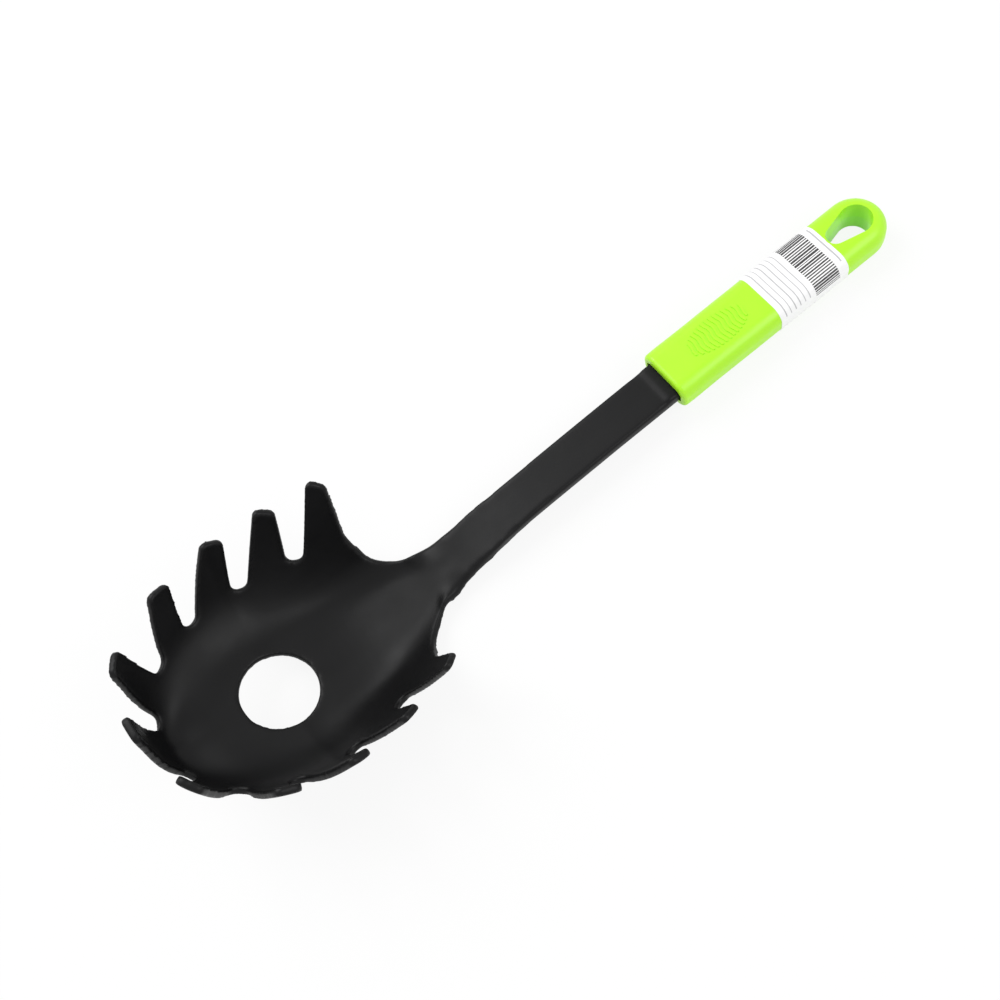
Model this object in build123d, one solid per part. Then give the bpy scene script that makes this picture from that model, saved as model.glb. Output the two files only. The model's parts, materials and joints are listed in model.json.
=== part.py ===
from build123d import *
import math
import os

# Pasta server: black nylon toothed scoop on a flat shaft, green sleeve handle, paper label.
# Modelled with the drain hole's axis upright, then laid down as it rests on a table.
# Lengths in millimetres, angles in degrees.

# Scoop
drain_radius = 13.25
floor_wall = 2.8
tip_wall = 2.6
apex = (0.0, 0.0, 52.0)

# Shaft
shaft_half_width = 7.95
shaft_thickness = 5.0
shaft_end = 156
neck_start = 70
reach = 300

# Handle sleeve
handle_slope = 20.9
handle_length = 96.6
handle_mouth = (155.0, 0.0, 58.9)
handle_thickness = 13.3
mouth_half_width = 10.8
grip_half_width = 10.9
grip_round = 5.2
rim_round = 1.4
mouth_pocket = 3.0
mouth_gap = 0.8
full_seat = 4.0
socket_depth = 62.0
tang_width = 13.0
tang_thickness = 4.0
catch_place = 48.0
catch_radius = 2.5
catch_height = 0.5
fit_gap = 0.15
tang_edge_round = 0.6
socket_edge_round = 0.7
mouth_edge_round = 2.4
tang_point = 0.5

# Hanging hole
hang_small_x = 77.0
hang_small_r = 3.2
hang_big_x = 86.0
hang_big_r = 5.4
hang_draft = 0.35

# Thumb pad
pad_x = 24.0
pad_length = 25.0
pad_width = 11.0
pad_ribs = 14
pad_pitch = 1.7
pad_rib_width = 0.8
pad_rib_height = 0.35
pad_wave = 0.35
pad_wave_length = 7.0

# Label
label_thick = 0.15
label_start = 43.0
label_end = 73.0
label_low = -4.2

# Table pose
lie_angle = 22.4
lie_x = 112.26
lie_z = 13.64


def blend(knots, at):
    """Value of a smooth curve through (place, value) knots at one place."""
    places = [k[0] for k in knots]
    values = [k[1] for k in knots]
    count = len(knots)
    slopes = []
    for i in range(count):
        a = max(i - 1, 0)
        b = min(i + 1, count - 1)
        slopes.append((values[b] - values[a]) / (places[b] - places[a]))
    at = min(max(at, places[0]), places[-1])
    i = max(j for j in range(count - 1) if places[j] <= at)
    width = places[i + 1] - places[i]
    t = (at - places[i]) / width
    a = values[i] * (2 * t**3 - 3 * t**2 + 1) + values[i + 1] * (3 * t**2 - 2 * t**3)
    b = width * (slopes[i] * (t**3 - 2 * t**2 + t) + slopes[i + 1] * (t**3 - t**2))
    return a + b


# Inner surface round the front, by azimuth: where the gaps end and where the tips end.
front_gap_radius = [(75, 34.0), (90, 34.0), (113, 34.4), (139, 36.9), (164, 38.5), (180, 38.8), (195, 38.5)]
front_gap_height = [(75, 12.0), (90, 11.5), (113, 10.2), (139, 8.9), (164, 3.3), (180, 2.8), (195, 3.3)]
front_tip_radius = [(75, 42.6), (90, 42.5), (116, 42.8), (151, 46.9), (180, 46.5), (195, 46.8)]
front_tip_height = [(75, 33.0), (90, 31.5), (116, 29.0), (151, 32.8), (180, 35.3), (195, 34.5)]

# Inner surface along the back half and the shaft, by distance behind the drain hole.
spine_height = [(-12, 0.0), (0, 0.0), (12, 0.1), (24, 0.9), (36, 3.2), (48, 8.3), (58, 14.2), (68, 20.6),
                (78, 27.1), (86, 31.7), (100, 38.4), (125, 49.0), (156, 61.4), (170, 66.8)]
back_gap_y = [(-12, 33.0), (0, 34.0), (12, 33.2), (24, 30.8), (36, 26.5), (48, 19.5), (58, 13.5), (68, 8.0)]
back_gap_z = [(-12, 10.5), (0, 11.5), (12, 13.0), (24, 15.5), (36, 16.0), (48, 15.5), (58, 17.5), (68, 21.2)]
back_tip_y = [(-12, 41.0), (0, 42.5), (12, 42.2), (24, 40.7), (36, 37.5), (48, 30.0), (58, 19.5), (68, 11.0)]
back_tip_z = [(-12, 29.5), (0, 31.5), (12, 33.8), (24, 37.0), (36, 41.5), (48, 41.0), (58, 30.0), (68, 22.5)]


# Tines on one side, back to front: tip middle on the inner surface, tip width and lean of its end.
tines = [
    ((38.3, 37.2, 44.2), 7.0, 24),
    ((21.5, 41.5, 36.6), 7.4, 22),
    ((3.0, 42.4, 32.4), 7.6, 20),
    ((-18.4, 38.8, 29.0), 8.2, 14),
    ((-39.2, 21.5, 33.2), 8.0, 4),
    ((-46.4, 0.0, 35.3), 8.6, 0),
]
# Gaps between them: lowest point on the inner surface and width of the round bottom.
gaps = [
    ((25.0, 30.4, 16.7), 5.2),
    ((6.0, 33.6, 11.8), 5.2),
    ((-13.2, 31.7, 10.3), 5.0),
    ((-27.9, 24.2, 9.4), 4.6),
    ((-37.1, 10.4, 3.8), 4.6),
]
tip_round = 2.2


def curve_points(knots, count):
    """Evenly spread points with their right-hand normals, on a smooth curve through the knots."""
    lengths = [0.0]
    for a, b in zip(knots, knots[1:]):
        lengths.append(lengths[-1] + math.dist(a, b))
    us = [(s, p[0]) for s, p in zip(lengths, knots)]
    vs = [(s, p[1]) for s, p in zip(lengths, knots)]
    found = []
    for i in range(count):
        s = lengths[-1] * i / (count - 1)
        du = blend(us, s + 0.05) - blend(us, s - 0.05)
        dv = blend(vs, s + 0.05) - blend(vs, s - 0.05)
        size = math.hypot(du, dv)
        found.append(((blend(us, s), blend(vs, s)), (dv / size, -du / size)))
    return found


def wall_lines(knots, thick_start, thick_end):
    """Inner line through the knots and the same line moved outwards, as points from the middle to the rim."""
    count = 13
    inner = []
    outer = []
    for i, (point, normal) in enumerate(curve_points(knots, count)):
        thick = thick_start + (thick_end - thick_start) * i / (count - 1)
        if i == 0:
            normal = (0.0, -1.0)
        inner.append(point)
        outer.append((point[0] + thick * normal[0], point[1] + thick * normal[1]))
    return inner, outer


def band(inner, outer):
    """Closed outline of a wall from its two lines of points."""
    edges = [Edge.make_spline([Vector(*p) for p in inner])]
    edges.append(Edge.make_line(inner[-1], outer[-1]))
    edges.append(Edge.make_spline([Vector(*p) for p in reversed(outer)]))
    edges.append(Edge.make_line(outer[0], inner[0]))
    return Wire(edges)


def wall_knots(low, gap, tip):
    rise = (tip[0] + 0.28 * (tip[0] - gap[0]), tip[1] + 0.5 * (tip[1] - gap[1]))
    return [(0.0, low), (0.2 * gap[0], low), (0.64 * gap[0], low + 0.14 * (gap[1] - low)), gap, tip, rise]


def front_section(azimuth):
    """Wall outline in the upright plane at one azimuth from the drain hole's axis."""
    side = azimuth if azimuth <= 180 else 360 - azimuth
    gap = (blend(front_gap_radius, side), blend(front_gap_height, side))
    tip = (blend(front_tip_radius, side), blend(front_tip_height, side))
    inner, outer = wall_lines(wall_knots(0.0, gap, tip), floor_wall, tip_wall)
    c = math.cos(math.radians(azimuth))
    s = math.sin(math.radians(azimuth))
    return band([(r * c, r * s, z) for r, z in inner[1:]], [(r * c, r * s, z) for r, z in outer[1:]])


def back_section(x):
    """Wall outline across the spine at one distance behind the drain hole."""
    low = blend(spine_height, x)
    if x <= 60:
        gap = (blend(back_gap_y, x), blend(back_gap_z, x))
        tip = (blend(back_tip_y, x), blend(back_tip_z, x))
        knots = wall_knots(low, gap, tip)
        end = tip_wall
    else:
        half = blend([(60, 13.0), (70, 10.4), (80, 8.5), (90, shaft_half_width), (170, shaft_half_width)], x)
        dish = blend([(60, 2.0), (68, 0.9), (80, 0.15), (170, 0.1)], x)
        knots = [(half * i / 5, low + dish * (i / 5) ** 2) for i in range(6)]
        end = blend([(60, 3.4), (78, 5.0), (100, shaft_thickness), (170, shaft_thickness)], x)
    start = blend([(-12, floor_wall), (36, floor_wall), (58, 3.6), (78, 5.2), (100, shaft_thickness),
                   (170, shaft_thickness)], x)
    inner, outer = wall_lines(knots, start, end)
    inner = [(-y, z) for y, z in reversed(inner[1:])] + inner
    outer = [(-y, z) for y, z in reversed(outer[1:])] + outer
    return band([(x, y, z) for y, z in inner], [(x, y, z) for y, z in outer])


def half_room(x0, x1):
    """Room on the far side of the middle plane, between two distances behind the drain hole."""
    return Pos((x0 + x1) / 2, reach / 2, 0) * Box(x1 - x0, reach, reach)


def scoop_walls():
    """Untrimmed walls of the far side: front of the scoop, back of the scoop, shaft."""
    front = Solid.make_loft([front_section(a) for a in range(75, 196, 15)])
    front = front & half_room(-reach, 0)
    back = Solid.make_loft([back_section(x) for x in (-12, 0, 12, 24, 36, 46, 54, 62, 70, 78)])
    back = back & half_room(0, neck_start)
    shaft = Solid.make_loft([back_section(x) for x in (neck_start, 80, 90, 105, 125, 145, shaft_end)])
    shaft = shaft & half_room(neck_start - 10, reach)
    return front, back, shaft


def cone(points, rounds, toward):
    """Solid from the scoop's middle outwards through an outline of points, its corners rounded by radius."""
    eye = Vector(*apex)
    axis = (Vector(*toward) - eye).normalized()
    faces = []
    for reach in (18.0, 90.0):
        plane = Plane(origin=eye + axis * reach, z_dir=axis)
        flat = []
        scales = []
        for p in points:
            ray = Vector(*p) - eye
            grow = reach / ray.dot(axis)
            local = plane.to_local_coords(eye + ray * grow)
            flat.append((local.X, local.Y))
            scales.append(grow)
        face = make_face(Polyline(*flat, close=True)).face()
        for spot, grow, radius in zip(flat, scales, rounds):
            if radius > 0:
                corner = min(face.vertices(), key=lambda v: math.hypot(v.X - spot[0], v.Y - spot[1]))
                face = face.fillet_2d(radius * grow, [corner])
        faces.append(plane.from_local_coords(face).outer_wire())
    return Solid.make_loft(faces, ruled=True)


def tip_ends(tine):
    """Front and back corners of a tine's end, and a direction up along it."""
    tip, width, lean = tine
    out = Vector(tip[0], tip[1], 0).normalized()
    along = Vector(out.Y, -out.X, 0)
    tilt = math.radians(lean)
    along = along * math.cos(tilt) + Vector(0, 0, -1) * math.sin(tilt)
    middle = Vector(*tip)
    return middle + along * (width / 2), middle, middle - along * (width / 2)


def gap_cut(index):
    """What is cut away between two tines, with half of each tine's end."""
    low, width = gaps[index]
    back_end, back_middle, back_corner = tip_ends(tines[index])
    front_corner, front_middle, front_end = tip_ends(tines[index + 1])
    back_over = back_middle + (back_end - back_middle) * 0.3
    front_over = front_middle + (front_end - front_middle) * 0.3
    back_up = back_over + Vector(0, 0, 40) + Vector(back_middle.X, back_middle.Y, 0) * 0.25
    front_up = front_over + Vector(0, 0, 40) + Vector(front_middle.X, front_middle.Y, 0) * 0.25
    low = Vector(*low)
    out = Vector(low.X, low.Y, 0).normalized()
    along = Vector(out.Y, -out.X, 0) * (width / 2)
    outline = [back_up, back_over, back_corner, low + along, low - along, front_corner, front_over, front_up]
    rounds = [0, 0, tip_round, 0.46 * width, 0.46 * width, tip_round, 0, 0]
    return cone([tuple(p) for p in outline], rounds, tuple((back_corner + front_corner + low * 2) * 0.25))


def neck_cut():
    """What is cut away from the rear tine's back flank down to the neck and along the shaft's side."""
    back_corner, middle, front_corner = tip_ends(tines[0])
    over = middle + (front_corner - middle) * 0.3
    up = over + Vector(0, 0, 40) + Vector(middle.X, middle.Y, 0) * 0.25
    outline = [up, over, back_corner, Vector(42.8, 26.5, 21.0), Vector(45.8, 18.3, 14.3),
               Vector(53.0, 12.6, 13.6), Vector(63.0, 9.3, 18.6), Vector(74.0, 8.2, 24.9), Vector(96.0, 8.5, 36.5),
               Vector(96.0, 40.0, 60.0)]
    rounds = [0, 0, tip_round, 14, 5.5, 12, 20, 40, 0, 0]
    return cone([tuple(p) for p in outline], rounds, (58.0, 26.0, 22.0))


def scoop():
    """Scoop, neck and shaft with the tines, the gaps and the drain hole."""
    front, back, shaft = scoop_walls()
    body = front + back + shaft
    for index in range(len(gaps)):
        body = body - gap_cut(index)
    body = body - neck_cut()
    body = body - Cylinder(drain_radius, 40)
    body = body.solids().sort_by(SortBy.VOLUME)[-1]
    return body + mirror(body, about=Plane.XZ)


def handle_plane():
    slope = math.radians(handle_slope)
    return Plane(origin=handle_mouth, x_dir=(math.cos(slope), 0, math.sin(slope)),
                 z_dir=(-math.sin(slope), 0, math.cos(slope)))


def block(x0, x1, width, height, round_off):
    """Straight bar along the handle with its four long edges rounded."""
    bar = Pos((x0 + x1) / 2, 0, 0) * Box(x1 - x0, width, height)
    return fillet(bar.edges().filter_by(Axis.X), round_off)


def tang():
    """Shaft's end inside the sleeve: full section just past the mouth, then the thinner tang with its catch."""
    width = 2 * shaft_half_width
    full = block(-4.0, mouth_pocket + full_seat, width, shaft_thickness, tang_edge_round)
    thin = block(mouth_pocket + full_seat - 1.0, socket_depth - 1.0, tang_width, tang_thickness, tang_edge_round)
    point = thin.faces().sort_by(Axis.X)[-1].edges()
    thin = chamfer(point, tang_point)
    catch = Pos(catch_place, 0, tang_thickness / 2) * Cylinder(catch_radius, 2 * catch_height)
    return full + thin + catch


def plan_outline(grow=0.0):
    """Sleeve seen from above: slight swell from the mouth, round end by the hanging hole."""
    start = mouth_half_width + grow
    half = grip_half_width + grow
    end = handle_length + grow
    bend = end - half
    side = Spline((0, start), (12, 0.35 * start + 0.65 * half), (30, half), tangents=[(1, 0.06), (1, 0)])
    far = Line((30, half), (bend, half))
    turn = ThreePointArc((bend, half), (end, 0), (bend, -half))
    near = Line((bend, -half), (30, -half))
    back = Spline((30, -half), (12, -0.35 * start - 0.65 * half), (0, -start), tangents=[(-1, 0), (-1, 0.06)])
    close = Line((0, -start), (0, start))
    return make_face([side, far, turn, near, back, close])


def sleeve_body(grow=0.0):
    """Sleeve's outside with its long edges well rounded."""
    depth = handle_thickness + 2 * grow
    body = extrude(plan_outline(grow), amount=depth / 2, both=True)
    long_edges = [e for e in body.edges() if abs(abs(e.center().Z) - depth / 2) < 0.01 and e.center().X > 1]
    return fillet(long_edges, grip_round + grow)


def hang_outline(extra=0.0):
    """Egg-shaped hanging hole: small arc towards the mouth, large arc by the handle's end."""
    gap = hang_big_x - hang_small_x
    lean = math.asin((hang_big_r - hang_small_r) / gap)
    small = hang_small_r + extra
    big = hang_big_r + extra
    a = (hang_small_x - small * math.sin(lean), small * math.cos(lean))
    b = (hang_big_x - big * math.sin(lean), big * math.cos(lean))
    top = Line(a, b)
    right = ThreePointArc(b, (hang_big_x + big, 0), (b[0], -b[1]))
    under = Line((b[0], -b[1]), (a[0], -a[1]))
    left = ThreePointArc((a[0], -a[1]), (hang_small_x - small, 0), a)
    return make_face([top, right, under, left])


def hang_cut():
    """Hanging hole drafted from both faces, so its wall has a ridge half-way down."""
    flat = hang_outline().faces()[0]
    wide = hang_outline(hang_draft).faces()[0]
    half = handle_thickness / 2
    upper = Solid.make_loft([flat.outer_wire(), Pos(0, 0, half) * wide.outer_wire()], ruled=True)
    lower = Solid.make_loft([flat.outer_wire(), Pos(0, 0, -half) * wide.outer_wire()], ruled=True)
    over = extrude(Pos(0, 0, half - 0.001) * wide, amount=3)
    under = extrude(Pos(0, 0, -half + 0.001) * wide, amount=-3)
    return upper + lower + over + under


def pad_rib(index):
    """One wavy rib across the thumb pad."""
    place = pad_x + (index - (pad_ribs - 1) / 2) * pad_pitch
    reach = 0.5 * pad_width * math.sqrt(1 - ((place - pad_x) / (0.5 * pad_length)) ** 2)
    reach = max(reach, 1.2)
    lines = []
    for side in (-0.5, 0.5):
        spots = []
        for k in range(7):
            y = -reach + 2 * reach * k / 6
            wave = pad_wave * math.sin(2 * math.pi * y / pad_wave_length)
            spots.append((place + wave + side * pad_rib_width, y))
        lines.append(spots)
    first = Spline(*lines[0])
    second = Spline(*reversed(lines[1]))
    top = Line(lines[0][-1], lines[1][-1])
    low = Line(lines[1][0], lines[0][0])
    face = make_face([first, top, second, low])
    rib = extrude(Pos(0, 0, handle_thickness / 2 - 0.4) * face, amount=0.4 + pad_rib_height)
    return rib


def sleeve():
    """Green sleeve: outside, mouth pocket, socket, catch recess, hanging hole and thumb pad."""
    body = sleeve_body()
    rim = [e for e in body.edges() if abs(e.center().X) < 0.05]
    body = fillet(rim, rim_round)
    body = body - hang_cut()
    width = 2 * shaft_half_width
    body = body - block(-1.0, mouth_pocket, width + 2 * mouth_gap, shaft_thickness + 2 * mouth_gap, mouth_edge_round)
    seat = mouth_pocket + full_seat + fit_gap
    body = body - block(0.0, seat, width + 2 * fit_gap, shaft_thickness + 2 * fit_gap, socket_edge_round)
    body = body - block(0.0, socket_depth, tang_width + 2 * fit_gap, tang_thickness + 2 * fit_gap, socket_edge_round)
    recess = Cylinder(catch_radius + fit_gap, 2 * catch_height + 2 * fit_gap)
    body = body - Pos(catch_place, 0, tang_thickness / 2) * recess
    for index in range(pad_ribs):
        body = body + pad_rib(index)
    return body


def label():
    """Paper sticker wrapped over the sleeve's top and round both sides, cut clear of the hanging hole."""
    skin = sleeve_body(label_thick) - sleeve_body()
    length = label_end - label_start
    keep = Pos(label_start + length / 2, 0, label_low + 10) * Box(length, 60, 20)
    skin = skin & keep
    return skin - extrude(Pos(0, 0, -10) * hang_outline(hang_draft + 0.6).faces()[0], amount=30)


def laid_down(shape):
    """Turns a shape from the drain hole's upright pose to the pose lying on a table."""
    turned = shape.rotate(Axis((0, 0, 0), (0, 1, 0)), lie_angle)
    return turned.translate(Vector(-lie_x, 0, lie_z))


def build():
    plane = handle_plane()
    moulding = scoop() + plane.from_local_coords(tang())
    moulding = moulding.solids().sort_by(SortBy.VOLUME)[-1]
    found = {"server_moulding": moulding}
    found["handle_sleeve"] = plane.from_local_coords(sleeve())
    found["label_sticker"] = plane.from_local_coords(label())
    return {name: laid_down(shape) for name, shape in found.items()}


if __name__ == "__main__":
    os.makedirs("parts", exist_ok=True)
    for name, shape in build().items():
        solid = shape.solids()[0] if len(shape.solids()) == 1 else shape
        box = solid.bounding_box()
        print(name, len(shape.solids()), solid.is_valid, round(solid.volume, 1), box.min, box.max)
        export_step(solid, f"parts/{name}.step")
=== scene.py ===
"""Pasta server: looks of the black nylon moulding, the green sleeve handle and the paper label."""

import json
import logging
import math
from dataclasses import dataclass
from enum import Enum

import bpy
from mathutils import Matrix, Vector

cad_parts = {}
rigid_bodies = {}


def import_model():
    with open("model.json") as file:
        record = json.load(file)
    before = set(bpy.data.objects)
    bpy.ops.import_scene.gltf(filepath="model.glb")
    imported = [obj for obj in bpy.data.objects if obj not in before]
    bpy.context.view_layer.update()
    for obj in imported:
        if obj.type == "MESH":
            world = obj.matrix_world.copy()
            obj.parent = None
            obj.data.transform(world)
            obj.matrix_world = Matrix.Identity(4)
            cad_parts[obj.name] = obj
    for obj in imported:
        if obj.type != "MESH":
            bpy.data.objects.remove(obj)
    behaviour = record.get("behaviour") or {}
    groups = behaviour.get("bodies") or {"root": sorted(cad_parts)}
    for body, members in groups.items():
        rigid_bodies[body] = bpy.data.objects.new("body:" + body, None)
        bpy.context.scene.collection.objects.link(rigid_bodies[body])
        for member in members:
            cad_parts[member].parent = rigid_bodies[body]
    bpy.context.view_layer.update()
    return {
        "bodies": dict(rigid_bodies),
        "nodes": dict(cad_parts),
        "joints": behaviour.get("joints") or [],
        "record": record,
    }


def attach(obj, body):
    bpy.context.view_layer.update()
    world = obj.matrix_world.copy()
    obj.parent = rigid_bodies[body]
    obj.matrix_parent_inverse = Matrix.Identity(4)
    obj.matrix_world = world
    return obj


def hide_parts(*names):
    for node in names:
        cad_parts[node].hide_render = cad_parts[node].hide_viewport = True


logging.basicConfig(level=logging.INFO, format="%(message)s")
LOG = logging.getLogger("pasta_server")
MM = 0.001
BODY = "root"


def linear(colour: str) -> tuple[float, float, float, float]:
    """Turns an sRGB hex colour into linear values.

    Args:
        colour: six hex digits after a hash.

    Returns:
        Red, green, blue and an alpha of 1.
    """
    parts = [int(colour[i:i + 2], 16) / 255 for i in (1, 3, 5)]
    r, g, b = (v / 12.92 if v <= 0.04045 else ((v + 0.055) / 1.055) ** 2.4 for v in parts)
    return r, g, b, 1.0


def add_node(tree: bpy.types.NodeTree, kind: str, links: dict | None = None,
             values: dict | None = None, **settings: object) -> bpy.types.Node:
    """Adds one node with its settings, constant inputs and links.

    Args:
        tree: the tree that gets the node.
        kind: the node's type.
        links: input name or index to the output socket that feeds it.
        values: input name or index to a constant.
        settings: properties of the node itself.

    Returns:
        The new node.
    """
    node = tree.nodes.new(kind)
    for name, value in settings.items():
        setattr(node, name, value)
    for name, value in (values or {}).items():
        node.inputs[name].default_value = value
    for name, socket in (links or {}).items():
        tree.links.new(socket, node.inputs[name])
    return node


def new_material(name: str) -> tuple[bpy.types.Material, bpy.types.NodeTree, bpy.types.Node]:
    """Starts a material with an empty tree and a shader on its output.

    Args:
        name: the material's name.

    Returns:
        The material, its tree and its Principled shader.
    """
    material = bpy.data.materials.new(name)
    material.use_nodes = True
    tree = material.node_tree
    tree.nodes.clear()
    shader = add_node(tree, "ShaderNodeBsdfPrincipled")
    add_node(tree, "ShaderNodeOutputMaterial", {"Surface": shader.outputs["BSDF"]})
    return material, tree, shader


@dataclass(frozen=True)
class MouldedPlastic:
    """Finish of an injection-moulded plastic: colour drift, spark-eroded grain and broad flow marks."""

    name: str
    colour: str
    worn_colour: str
    roughness: float
    roughness_drift: float
    ior: float
    grain_mm: float
    grain_height_mm: float
    flow_mm: float
    shine: float = 0.5
    glow: float = 0.0
    glow_reach_mm: tuple[float, float, float] = (1.0, 1.0, 1.0)

    def build(self) -> bpy.types.Material:
        """Makes the node material on Object coordinates, which are the frame's own metres."""
        material, tree, shader = new_material(self.name)
        place = add_node(tree, "ShaderNodeTexCoord").outputs["Object"]
        flow = add_node(tree, "ShaderNodeTexNoise", {"Vector": place},
                        {"Scale": 1 / (self.flow_mm * MM), "Detail": 3.0, "Roughness": 0.55})
        grain = add_node(tree, "ShaderNodeTexNoise", {"Vector": place},
                         {"Scale": 1 / (self.grain_mm * MM), "Detail": 2.0, "Roughness": 0.6})
        tint = add_node(tree, "ShaderNodeMix", {"Factor": flow.outputs["Fac"]}, data_type="RGBA")
        tint.inputs["A"].default_value = linear(self.colour)
        tint.inputs["B"].default_value = linear(self.worn_colour)
        tree.links.new(tint.outputs["Result"], shader.inputs["Base Color"])
        low = self.roughness - self.roughness_drift
        high = self.roughness + self.roughness_drift
        gloss = add_node(tree, "ShaderNodeMapRange", {"Value": flow.outputs["Fac"]},
                         {"From Min": 0.3, "From Max": 0.7, "To Min": low, "To Max": high})
        tree.links.new(gloss.outputs["Result"], shader.inputs["Roughness"])
        bump = add_node(tree, "ShaderNodeBump", {"Height": grain.outputs["Fac"]},
                        {"Strength": 1.0, "Distance": self.grain_height_mm * MM})
        tree.links.new(bump.outputs["Normal"], shader.inputs["Normal"])
        shader.inputs["IOR"].default_value = self.ior
        shader.inputs["Specular IOR Level"].default_value = self.shine
        if self.glow:
            shader.inputs["Subsurface Weight"].default_value = self.glow
            shader.inputs["Subsurface Radius"].default_value = self.glow_reach_mm
            shader.inputs["Subsurface Scale"].default_value = MM
        return material


@dataclass(frozen=True)
class CoatedPaper:
    """Finish of a coated paper sticker: near white, faint fibre and a soft sheen."""

    name: str
    colour: str
    fibre_mm: float
    fibre_height_mm: float
    roughness: float

    def build(self) -> bpy.types.Material:
        """Makes the paper with stretched fibre noise for its colour and its bump."""
        material, tree, shader = new_material(self.name)
        place = add_node(tree, "ShaderNodeTexCoord").outputs["Object"]
        stretch = add_node(tree, "ShaderNodeMapping", {"Vector": place}, {"Scale": (0.4, 1.0, 1.0)})
        fibre = add_node(tree, "ShaderNodeTexNoise", {"Vector": stretch.outputs["Vector"]},
                         {"Scale": 1 / (self.fibre_mm * MM), "Detail": 4.0})
        shade = add_node(tree, "ShaderNodeMix", {"Factor": fibre.outputs["Fac"]}, data_type="RGBA")
        shade.inputs["A"].default_value = linear(self.colour)
        shade.inputs["B"].default_value = linear("#ffffff")
        tree.links.new(shade.outputs["Result"], shader.inputs["Base Color"])
        bump = add_node(tree, "ShaderNodeBump", {"Height": fibre.outputs["Fac"]},
                        {"Strength": 1.0, "Distance": self.fibre_height_mm * MM})
        tree.links.new(bump.outputs["Normal"], shader.inputs["Normal"])
        shader.inputs["Roughness"].default_value = self.roughness
        return material


@dataclass(frozen=True)
class PrintingInk:
    """Finish of flat ink on paper, a little uneven where the paper takes it up."""

    name: str
    colour: str
    thin_colour: str
    mottle_mm: float
    roughness: float

    def build(self) -> bpy.types.Material:
        """Makes the ink with a fine mottle in its colour."""
        material, tree, shader = new_material(self.name)
        place = add_node(tree, "ShaderNodeTexCoord").outputs["Object"]
        mottle = add_node(tree, "ShaderNodeTexNoise", {"Vector": place},
                          {"Scale": 1 / (self.mottle_mm * MM), "Detail": 3.0})
        shade = add_node(tree, "ShaderNodeMix", {"Factor": mottle.outputs["Fac"]}, data_type="RGBA")
        shade.inputs["A"].default_value = linear(self.colour)
        shade.inputs["B"].default_value = linear(self.thin_colour)
        tree.links.new(shade.outputs["Result"], shader.inputs["Base Color"])
        shader.inputs["Roughness"].default_value = self.roughness
        return material


# Glass-filled nylon from a spark-eroded mould: deep black, with a satin bloom that drifts over the dish.
BLACK_NYLON = MouldedPlastic("black_nylon_moulded", "#070708", "#0d0d0e", 0.43, 0.05, 1.53, 0.5, 0.012, 14.0,
                             shine=0.17)
# Dyed polypropylene: saturated lime that lights up from inside, softly glossy.
LIME_POLYPROPYLENE = MouldedPlastic("lime_polypropylene_moulded", "#aef21f", "#b5f52a", 0.36, 0.03, 1.49, 0.6,
                                    0.003, 18.0, glow=0.12, glow_reach_mm=(1.2, 1.6, 0.4))
# Coated label stock: clean white with hardly any tooth.
LABEL_PAPER = CoatedPaper("coated_label_paper", "#f2f2f3", 0.35, 0.002, 0.42)
# Black thermal print: dense, with a slightly greyer grain where the paper shows.
BAR_INK = PrintingInk("black_bar_ink", "#161616", "#3a3a3b", 0.4, 0.5)
# Thin grey print: small rules that read as pale grey from a step away.
RULE_INK = PrintingInk("grey_rule_ink", "#b4b4b6", "#cdcdcf", 0.4, 0.5)


class Heading(Enum):
    """Which way a row of printed strips runs on the label."""

    ALONG = "along the handle"
    ACROSS = "across the handle"


def mount_named(frame: dict, name: str) -> dict:
    """Finds one of the record's mounts by its name."""
    return next(m for m in frame["record"]["mounts"] if m["name"] == name)


def carry_over(node: bpy.types.Object, material: bpy.types.Material) -> None:
    """Gives a solid of the frame its finish."""
    node.data.materials.clear()
    node.data.materials.append(material)


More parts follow.
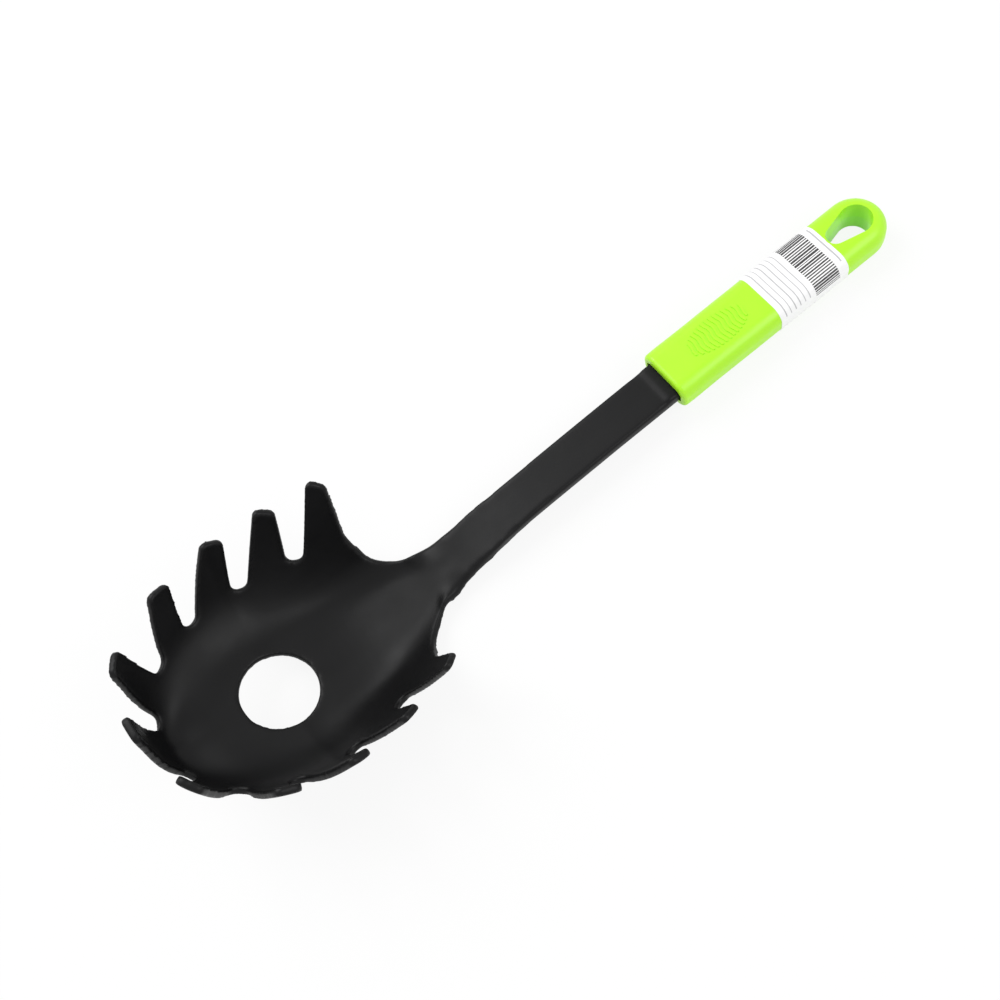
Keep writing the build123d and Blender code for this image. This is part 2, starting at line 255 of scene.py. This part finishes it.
@dataclass
class Moulding:
    """Black scoop, neck and shaft, with the soft edges that a mould leaves."""

    node: str = "server_moulding"
    merge_mm: float = 0.01
    voxel_mm: float = 0.62
    soften_steps: int = 10
    soften_share: float = 0.5
    neck_mm: float = -42.0
    neck_reach_mm: float = 12.0
    neck_steps: int = 35

    def neck_weights(self, piece: bpy.types.Object, name: str) -> None:
        """Marks the neck, where the dish runs into the shaft, fading out to both sides."""
        group = piece.vertex_groups.new(name=name)
        for vertex in piece.data.vertices:
            away = abs(vertex.co.x / MM - self.neck_mm) / self.neck_reach_mm
            if away < 1:
                group.add([vertex.index], 1 - away * away, "REPLACE")

    def soften(self, piece: bpy.types.Object, steps: int, group: str = "") -> None:
        """Evens out the surface, within one vertex group if it is named.

        Args:
            piece: the piece to soften.
            steps: how often each point moves towards its neighbours.
            group: the vertex group that limits it.
        """
        smooth = piece.modifiers.new("soften", "SMOOTH")
        smooth.factor = self.soften_share
        smooth.iterations = steps
        smooth.vertex_group = group
        self.settle(piece)

    def settle(self, piece: bpy.types.Object) -> None:
        """Turns the piece's modifiers into its plain mesh."""
        made = bpy.data.meshes.new_from_object(piece.evaluated_get(bpy.context.evaluated_depsgraph_get()))
        piece.modifiers.clear()
        piece.data = made

    def build(self, frame: dict) -> bpy.types.Object:
        """Rounds a merged copy of the solid and lets it stand for the solid.


        Returns:
            The finished piece.
        """
        source = frame["nodes"][self.node]
        piece = bpy.data.objects.new("moulding_soft_edged", source.data.copy())
        bpy.context.scene.collection.objects.link(piece)
        weld = piece.modifiers.new("merge", "WELD")
        weld.merge_threshold = self.merge_mm * MM
        remesh = piece.modifiers.new("skin", "REMESH")
        remesh.mode = "VOXEL"
        remesh.voxel_size = self.voxel_mm * MM
        remesh.use_smooth_shade = True
        self.settle(piece)
        self.soften(piece, self.soften_steps)
        self.neck_weights(piece, "neck")
        self.soften(piece, self.neck_steps, "neck")
        made = piece.data
        made.materials.clear()
        made.materials.append(BLACK_NYLON.build())
        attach(piece, BODY)
        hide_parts(self.node)
        LOG.info("moulding: %d faces", len(made.polygons))
        return piece


@dataclass
class Sleeve:
    """Green handle sleeve, whose solid already has its ribs, rim and hanging hole."""

    node: str = "handle_sleeve"

    def build(self, frame: dict) -> bpy.types.Object:
        """Dresses the solid in lime polypropylene."""
        carry_over(frame["nodes"][self.node], LIME_POLYPROPYLENE.build())
        LOG.info("sleeve: dressed")
        return frame["nodes"][self.node]


@dataclass
class StripRow:
    """One block of printed strips: where it lies on the unrolled label and how its strips vary.

    Lengths are in millimetres. start and across give the first strip's middle, along the handle and
    round the label, gap_share is the share of strips left out, and seed fixes the draws.
    """

    name: str
    heading: Heading
    start_mm: float
    length_mm: float
    count: int
    pitch_mm: float
    thin_mm: float
    thick_mm: float
    across_mm: float
    gap_share: float
    seed: int


@dataclass
class Label:
    """Paper sticker with plain printed strips that follow its wrap."""

    node: str = "label_sticker"
    hole_place_mm: float = 86.0
    half_width_mm: float = 11.05
    half_height_mm: float = 6.8
    corner_mm: float = 5.35
    corner_steps: int = 10
    lift_mm: float = 0.03
    side_mm: float = 3.0
    bar_pitch_mm: float = 0.98
    bar_count: int = 29
    rule_share: float = 0.72

    def handle_matrix(self, frame: dict) -> Matrix:
        """Place of the handle's own axes, worked out from the hanging hole's mount.


        Returns:
            Matrix from the handle's millimetres, along, across and up, to the frame's metres.
        """
        hole = mount_named(frame, "hanging_hole")
        up = Vector(hole["axis"]).normalized()
        side = Vector((0.0, 1.0, 0.0))
        along = side.cross(up)
        mouth = Vector(hole["pos_m"]) - along * self.hole_place_mm * MM
        turn = Matrix((along, side, up)).transposed().to_4x4()
        return Matrix.Translation(mouth) @ turn @ Matrix.Scale(MM, 4)

    def section(self) -> bpy.types.Object:
        """Line across the label's outer face, from the far side over the top to the near side."""
        flat = self.half_width_mm - self.corner_mm
        high = self.half_height_mm - self.corner_mm
        lift = self.corner_mm + self.lift_mm
        points = [(-flat - lift, high - self.side_mm)]
        for k in range(self.corner_steps + 1):
            turn = math.pi - 0.5 * math.pi * k / self.corner_steps
            points.append((-flat + lift * math.cos(turn), high + lift * math.sin(turn)))
        points += [(-y, z) for y, z in reversed(points)]
        curve = bpy.data.curves.new("label_section", "CURVE")
        curve.dimensions = "3D"
        line = curve.splines.new("POLY")
        line.points.add(len(points) - 1)
        for spot, (y, z) in zip(line.points, points):
            spot.co = (0.0, y, z, 1.0)
        guide = bpy.data.objects.new("label_section", curve)
        bpy.context.scene.collection.objects.link(guide)
        return guide

    def strip_tree(self, row: StripRow, ink: bpy.types.Material) -> bpy.types.NodeTree:
        """Builds the tree that lays strips flat, varies their widths and wraps them round the label.

        Args:
            row: the block of strips.
            ink: the material that the strips get.

        Returns:
            The node tree, with named inputs for its sizes.
        """
        tree = bpy.data.node_groups.new(row.name, "GeometryNodeTree")
        face = tree.interface
        face.new_socket("Section", in_out="INPUT", socket_type="NodeSocketObject")
        for name in ("Start", "Length", "Pitch", "Thin", "Thick", "Across", "Left Out"):
            face.new_socket(name, in_out="INPUT", socket_type="NodeSocketFloat")
        face.new_socket("Count", in_out="INPUT", socket_type="NodeSocketInt")
        face.new_socket("Seed", in_out="INPUT", socket_type="NodeSocketInt")
        face.new_socket("Geometry", in_out="OUTPUT", socket_type="NodeSocketGeometry")
        given = add_node(tree, "NodeGroupInput").outputs
        along = row.heading is Heading.ALONG
        down, across = ("Y", "X") if along else ("X", "Y")
        step = add_node(tree, "ShaderNodeCombineXYZ", {down: given["Pitch"]})
        first = add_node(tree, "ShaderNodeCombineXYZ", {"X": given["Start"], "Y": given["Across"]})
        dots = add_node(tree, "GeometryNodeMeshLine",
                        {"Count": given["Count"], "Start Location": first.outputs["Vector"],
                         "Offset": step.outputs["Vector"]})
        dice = add_node(tree, "FunctionNodeRandomValue", {"Seed": given["Seed"]}, data_type="FLOAT")
        drop = add_node(tree, "ShaderNodeMath", {0: dice.outputs[1], 1: given["Left Out"]},
                        operation="LESS_THAN")
        kept = add_node(tree, "GeometryNodeDeleteGeometry",
                        {"Geometry": dots.outputs["Mesh"], "Selection": drop.outputs["Value"]},
                        domain="POINT")
        other = add_node(tree, "ShaderNodeMath", {0: given["Seed"]}, {1: 7.0}, operation="ADD")
        width = add_node(tree, "FunctionNodeRandomValue", {"Min": given["Thin"], "Max": given["Thick"],
                                                           "Seed": other.outputs["Value"]}, data_type="FLOAT")
        size = add_node(tree, "ShaderNodeCombineXYZ", {across: given["Length"], down: width.outputs[1]},
                        {"Z": 1.0})
        counts = {"Vertices X": 2, "Vertices Y": 3} if along else {"Vertices X": 2, "Vertices Y": 40}
        sheet = add_node(tree, "GeometryNodeMeshGrid", values={"Size X": 1.0, "Size Y": 1.0, **counts})
        strips = add_node(tree, "GeometryNodeInstanceOnPoints",
                          {"Points": kept.outputs["Geometry"], "Instance": sheet.outputs["Mesh"],
                           "Scale": size.outputs["Vector"]})
        real = add_node(tree, "GeometryNodeRealizeInstances", {"Geometry": strips.outputs["Instances"]})
        place = add_node(tree, "GeometryNodeInputPosition")
        flat = add_node(tree, "ShaderNodeSeparateXYZ", {"Vector": place.outputs["Position"]})
        guide = add_node(tree, "GeometryNodeObjectInfo", {"Object": given["Section"]},
                         transform_space="ORIGINAL")
        round_it = add_node(tree, "GeometryNodeSampleCurve",
                            {"Curves": guide.outputs["Geometry"], "Length": flat.outputs["Y"]},
                            mode="LENGTH", use_all_curves=True)
        wrapped = add_node(tree, "ShaderNodeSeparateXYZ", {"Vector": round_it.outputs["Position"]})
        spot = add_node(tree, "ShaderNodeCombineXYZ", {"X": flat.outputs["X"], "Y": wrapped.outputs["Y"],
                                                       "Z": wrapped.outputs["Z"]})
        laid = add_node(tree, "GeometryNodeSetPosition",
                        {"Geometry": real.outputs["Geometry"], "Position": spot.outputs["Vector"]})
        inked = add_node(tree, "GeometryNodeSetMaterial", {"Geometry": laid.outputs["Geometry"]},
                         {"Material": ink})
        add_node(tree, "NodeGroupOutput", {"Geometry": inked.outputs["Geometry"]})
        return tree

    def print_row(self, row: StripRow, guide: bpy.types.Object, place: Matrix,
                  ink: bpy.types.Material) -> bpy.types.Object:
        """Runs a strip tree, turns its result into a plain mesh and lays it on the label.

        Args:
            row: the block of strips.
            guide: the line across the label.
            place: the handle's own axes.
            ink: the strips' material.

        Returns:
            The finished piece.
        """
        tree = self.strip_tree(row, ink)
        piece = bpy.data.objects.new(row.name, bpy.data.meshes.new(row.name))
        bpy.context.scene.collection.objects.link(piece)
        modifier = piece.modifiers.new("print", "NODES")
        modifier.node_group = tree
        values = {"Section": guide, "Start": row.start_mm, "Length": row.length_mm, "Pitch": row.pitch_mm,
                  "Thin": row.thin_mm, "Thick": row.thick_mm, "Across": row.across_mm,
                  "Left Out": row.gap_share, "Count": row.count, "Seed": row.seed}
        for item in tree.interface.items_tree:
            if item.in_out == "INPUT":
                modifier[item.identifier] = values[item.name]
        bpy.context.view_layer.update()
        made = bpy.data.meshes.new_from_object(piece.evaluated_get(bpy.context.evaluated_depsgraph_get()))
        piece.modifiers.clear()
        made.transform(place)
        piece.data = made
        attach(piece, BODY)
        LOG.info("%s: %d faces, running %s", row.name, len(made.polygons), row.heading.value)
        return piece

    def build(self, frame: dict) -> None:
        """Dresses the sticker and prints its bars and rules."""
        carry_over(frame["nodes"][self.node], LABEL_PAPER.build())
        guide = self.section()
        place = self.handle_matrix(frame)
        bars = BAR_INK.build()
        rules = RULE_INK.build()
        wrap = 2 * (self.side_mm + 0.5 * math.pi * (self.corner_mm + self.lift_mm)
                    + self.half_width_mm - self.corner_mm)
        middle = 0.5 * wrap
        first_bar = middle - 0.5 * self.bar_pitch_mm * (self.bar_count - 1)
        blocks = [
            (StripRow("label_bars", Heading.ALONG, 63.7, 10.6, self.bar_count, self.bar_pitch_mm,
                      0.28, 0.84, first_bar, 0.12, 11), bars),
            (StripRow("label_rules", Heading.ACROSS, 45.4, self.rule_share * wrap, 6, 2.1,
                      0.3, 0.5, middle, 0.0, 5), rules),
            (StripRow("label_end_rule", Heading.ACROSS, 71.4, middle, 1, 1.0,
                      0.5, 0.6, middle, 0.0, 3), rules),
        ]
        for row, ink in blocks:
            self.print_row(row, guide, place, ink)
        bpy.data.objects.remove(guide)


@dataclass
class Studio:
    """Plain white table, soft lamps and the camera over the server."""

    camera_place: tuple[float, float, float] = (-0.03482, -0.14293, 0.37129)
    camera_aim: tuple[float, float, float] = (0.04943, 0.3767, -0.92503)
    camera_roll: float = -32.343
    focal_px: float = 1150.0
    frame_px: float = 1000.0
    sensor_mm: float = 36.0
    table_half: float = 3.0
    floor_white: float = 0.88

    def white_to_eye(self, tree: bpy.types.NodeTree) -> bpy.types.NodeSocket:
        """Light Path socket that is 1 for what the camera, a reflection or a clear piece sees."""
        path = add_node(tree, "ShaderNodeLightPath").outputs
        seen = add_node(tree, "ShaderNodeMath", {0: path["Is Camera Ray"], 1: path["Is Glossy Ray"]},
                        operation="MAXIMUM")
        return add_node(tree, "ShaderNodeMath", {0: seen.outputs["Value"], 1: path["Is Transmission Ray"]},
                        operation="MAXIMUM").outputs["Value"]

    def table(self) -> None:
        """White table that keeps a soft shadow."""
        half = self.table_half
        mesh = bpy.data.meshes.new("table")
        mesh.from_pydata([(-half, -half, 0), (half, -half, 0), (half, half, 0), (-half, half, 0)], [],
                         [(0, 1, 2, 3)])
        floor = bpy.data.objects.new("table", mesh)
        bpy.context.scene.collection.objects.link(floor)
        material = bpy.data.materials.new("white_table")
        material.use_nodes = True
        tree = material.node_tree
        tree.nodes.clear()
        paint = add_node(tree, "ShaderNodeBsdfDiffuse", values={"Color": linear("#f4f4f4")})
        glow = add_node(tree, "ShaderNodeEmission", values={"Color": (1, 1, 1, 1), "Strength": 1.0})
        share = add_node(tree, "ShaderNodeMath", {0: self.white_to_eye(tree)}, {1: self.floor_white},
                         operation="MULTIPLY")
        both = add_node(tree, "ShaderNodeMixShader", {0: share.outputs["Value"], 1: paint.outputs["BSDF"],
                                                      2: glow.outputs["Emission"]})
        add_node(tree, "ShaderNodeOutputMaterial", {"Surface": both.outputs["Shader"]})
        mesh.materials.append(material)

    def sky(self) -> None:
        """World that lights evenly and shows white."""
        world = bpy.data.worlds.new("studio")
        bpy.context.scene.world = world
        world.use_nodes = True
        tree = world.node_tree
        tree.nodes.clear()
        strength = add_node(tree, "ShaderNodeMapRange", {"Value": self.white_to_eye(tree)},
                            {"To Min": 0.55, "To Max": 1.0})
        light = add_node(tree, "ShaderNodeBackground", {"Strength": strength.outputs["Result"]},
                         {"Color": (1, 1, 1, 1)})
        add_node(tree, "ShaderNodeOutputWorld", {"Surface": light.outputs["Background"]})

    def lamp(self, name: str, place: tuple[float, float, float], size: float, power: float) -> None:
        """One square soft lamp aimed at the server."""
        data = bpy.data.lights.new(name, "AREA")
        data.size = size
        data.energy = power
        lamp = bpy.data.objects.new(name, data)
        lamp.location = place
        lamp.rotation_euler = (-Vector(place)).to_track_quat("-Z", "Y").to_euler()
        bpy.context.scene.collection.objects.link(lamp)

    def camera(self) -> None:
        """Camera close over the near front side, rolled as the photographer held it."""
        data = bpy.data.cameras.new("camera")
        data.sensor_width = self.sensor_mm
        data.lens = self.focal_px / self.frame_px * self.sensor_mm
        data.clip_start = 0.01
        camera = bpy.data.objects.new("camera", data)
        turn = Vector(self.camera_aim).to_track_quat("-Z", "Y").to_matrix()
        roll = Matrix.Rotation(math.radians(self.camera_roll), 3, "Z")
        camera.rotation_euler = (turn @ roll).to_euler()
        camera.location = self.camera_place
        bpy.context.scene.collection.objects.link(camera)
        bpy.context.scene.camera = camera

    def build(self) -> None:
        """Sets the table, the world, the lamps and the camera."""
        bpy.context.scene.view_settings.view_transform = "Standard"
        self.table()
        self.sky()
        self.lamp("far_softbox", (-0.25, 0.75, 0.9), 0.8, 9.0)
        self.lamp("near_softbox", (0.55, -0.7, 0.8), 0.7, 5.0)
        self.camera()
        LOG.info("studio: set")


def main() -> None:
    """Builds the studio and each sub-assembly in order."""
    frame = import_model()
    Studio().build()
    Moulding().build(frame)
    Sleeve().build(frame)
    Label().build(frame)
    bpy.context.view_layer.update()


if __name__ == "__main__":
    main()
